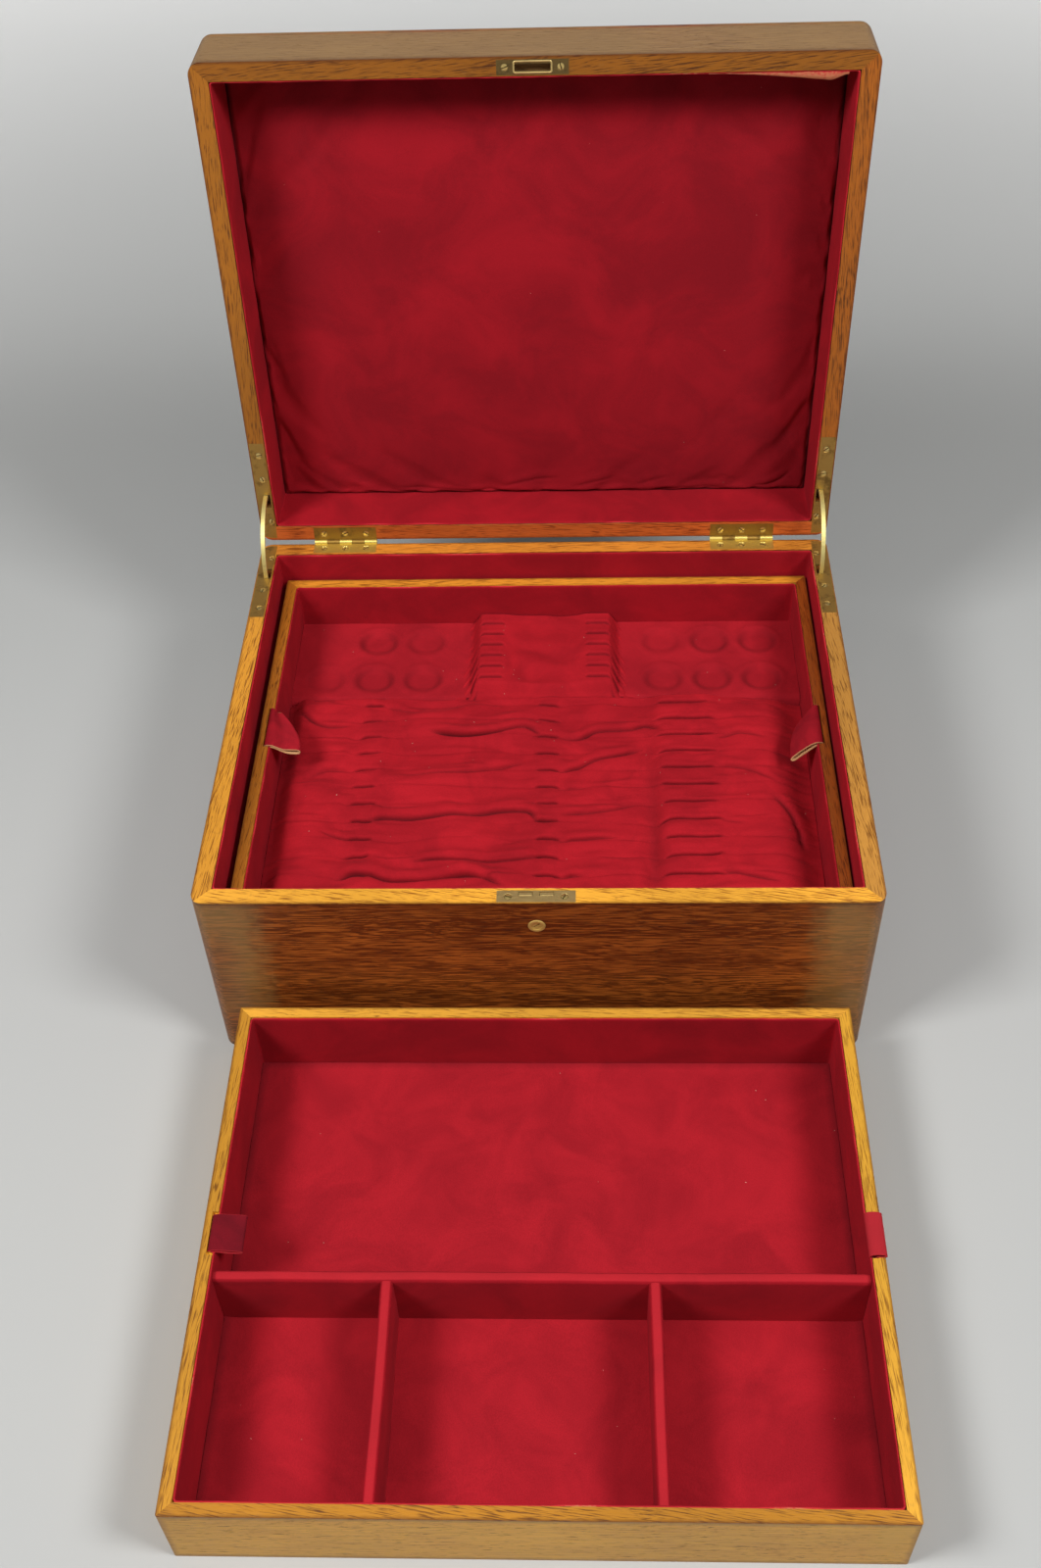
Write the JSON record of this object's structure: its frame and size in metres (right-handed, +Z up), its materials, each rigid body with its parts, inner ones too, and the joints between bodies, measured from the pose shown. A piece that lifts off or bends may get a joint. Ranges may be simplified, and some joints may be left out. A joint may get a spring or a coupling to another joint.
{
  "type": "silverware chest",
  "caption": "Oak chest for table silver with a hinged lid on quadrant stays, a mortise lock, velvet linings, slotted racks and lift-out trays with ribbon pull tabs.",
  "frame": {"origin": "middle of the chest's underside, on the surface that it stands on", "axes": "+X to the right of someone facing the lock, +Y from the lock side to the hinges, +Z up"},
  "size_m": [0.457, 0.8131, 0.5432],
  "materials": {
    "oak": "stained oak under a satin varnish, darker along its pores",
    "plain_wood": "plain unvarnished wood",
    "velvet": "deep red velvet with a short pile",
    "ribbon": "red velvet ribbon with a pale edge",
    "brass": "plain brass, dulled with age",
    "lock_steel": "plain steel plate"
  },
  "bodies": {
    "chest": {"chest_back_board": "oak", "chest_base_board": "plain_wood", "chest_floor_lining": "velvet", "chest_front_board": "oak", "chest_left_board": "oak", "chest_right_board": "oak", "chest_wall_lining": "velvet", "chest_wood_screws": "brass", "hinge_left_chest_leaf": "brass", "hinge_pins": "brass", "hinge_right_chest_leaf": "brass", "key_escutcheon": "brass", "lock_case": "lock_steel", "lock_selvedge_plate": "brass", "stay_left_chest_plate": "brass", "stay_right_chest_plate": "brass", "tray_bearer_left": "plain_wood", "tray_bearer_right": "plain_wood"},
    "lid": {"hinge_left_lid_leaf": "brass", "hinge_right_lid_leaf": "brass", "lid_back_board": "oak", "lid_front_board": "oak", "lid_left_board": "oak", "lid_pad": "velvet", "lid_right_board": "oak", "lid_top_panel": "oak", "lid_wall_lining": "velvet", "lid_wood_screws": "brass", "stay_left_lid_plate": "brass", "stay_right_lid_plate": "brass", "strike_plate": "brass"},
    "stay_left": {"stay_left_arc": "brass"},
    "stay_right": {"stay_right_arc": "brass"},
    "key_plug": {"key_plug": "brass"},
    "lock_bolt": {"lock_bolt": "brass"},
    "lower_tray": {"lower_tray_back_board": "oak", "lower_tray_bottom": "plain_wood", "lower_tray_floor_pad": "velvet", "lower_tray_front_board": "oak", "lower_tray_left_board": "oak", "lower_tray_right_board": "oak", "lower_tray_wall_lining": "velvet", "rack_cloth": "velvet", "rack_left": "velvet", "rack_middle": "velvet", "rack_right": "velvet", "teaspoon_racks": "velvet"},
    "upper_tray": {"upper_tray_back_board": "oak", "upper_tray_bottom": "plain_wood", "upper_tray_cross_dividers": "velvet", "upper_tray_floor_lining": "velvet", "upper_tray_front_board": "oak", "upper_tray_left_board": "oak", "upper_tray_long_divider": "velvet", "upper_tray_right_board": "oak", "upper_tray_wall_lining": "velvet"},
    "lower_tray_tab_left": {"lower_tray_tab_left": "ribbon"},
    "lower_tray_tab_right": {"lower_tray_tab_right": "ribbon"},
    "upper_tray_tab_left": {"upper_tray_tab_left": "ribbon"},
    "upper_tray_tab_right": {"upper_tray_tab_right": "ribbon"}
  },
  "joints": [
    {"name": "lid_swing", "type": "hinge", "parent": "chest", "child": "lid", "pos_m": [0, 0.1929, 0.16015], "axis": [-1, 0, 0], "range_deg": [-92.5, 0]},
    {"name": "stay_left_swing", "type": "hinge", "parent": "chest", "child": "stay_left", "pos_m": [0, 0.1929, 0.16015], "axis": [-1, 0, 0], "range_deg": [-46.25, 0]},
    {"name": "stay_right_swing", "type": "hinge", "parent": "chest", "child": "stay_right", "pos_m": [0, 0.1929, 0.16015], "axis": [-1, 0, 0], "range_deg": [-46.25, 0]},
    {"name": "key_turn", "type": "hinge", "parent": "chest", "child": "key_plug", "pos_m": [0, -0.1905, 0.1367], "axis": [0, -1, 0], "range_deg": [0, 90]},
    {"name": "lock_bolt_slide", "type": "slide", "parent": "chest", "child": "lock_bolt", "axis": [0, 0, 1], "range_m": [0, 0.005]},
    {"name": "lower_tray_lift", "type": "slide", "parent": "chest", "child": "lower_tray", "axis": [0, 0, 1], "range_m": [0, 0.14]},
    {"name": "upper_tray_lift", "type": "slide", "parent": "chest", "child": "upper_tray", "axis": [0, 0, 1], "range_m": [0, 0.14]},
    {"name": "lower_tray_tab_left_flip", "type": "hinge", "parent": "lower_tray", "child": "lower_tray_tab_left", "pos_m": [-0.2032, 0.001, 0.1353], "axis": [0, -1, 0], "range_deg": [0, 90]},
    {"name": "lower_tray_tab_right_flip", "type": "hinge", "parent": "lower_tray", "child": "lower_tray_tab_right", "pos_m": [0.2062, 0.001, 0.1353], "axis": [0, 1, 0], "range_deg": [0, 90]},
    {"name": "upper_tray_tab_left_flip", "type": "hinge", "parent": "upper_tray", "child": "upper_tray_tab_left", "pos_m": [-0.2016, -0.3738, 0.0593], "axis": [0, -1, 0], "range_deg": [0, 90]},
    {"name": "upper_tray_tab_right_flip", "type": "hinge", "parent": "upper_tray", "child": "upper_tray_tab_right", "pos_m": [0.2078, -0.3738, 0.0593], "axis": [0, 1, 0], "range_deg": [0, 90]}
  ],
  "couplings": [
    {"joint": "stay_left_swing", "follows": "lid_swing", "ratio": 0.5},
    {"joint": "stay_right_swing", "follows": "lid_swing", "ratio": 0.5},
    {"joint": "key_turn", "follows": "lock_bolt_slide", "rad_per_m": 314.15}
  ]
}
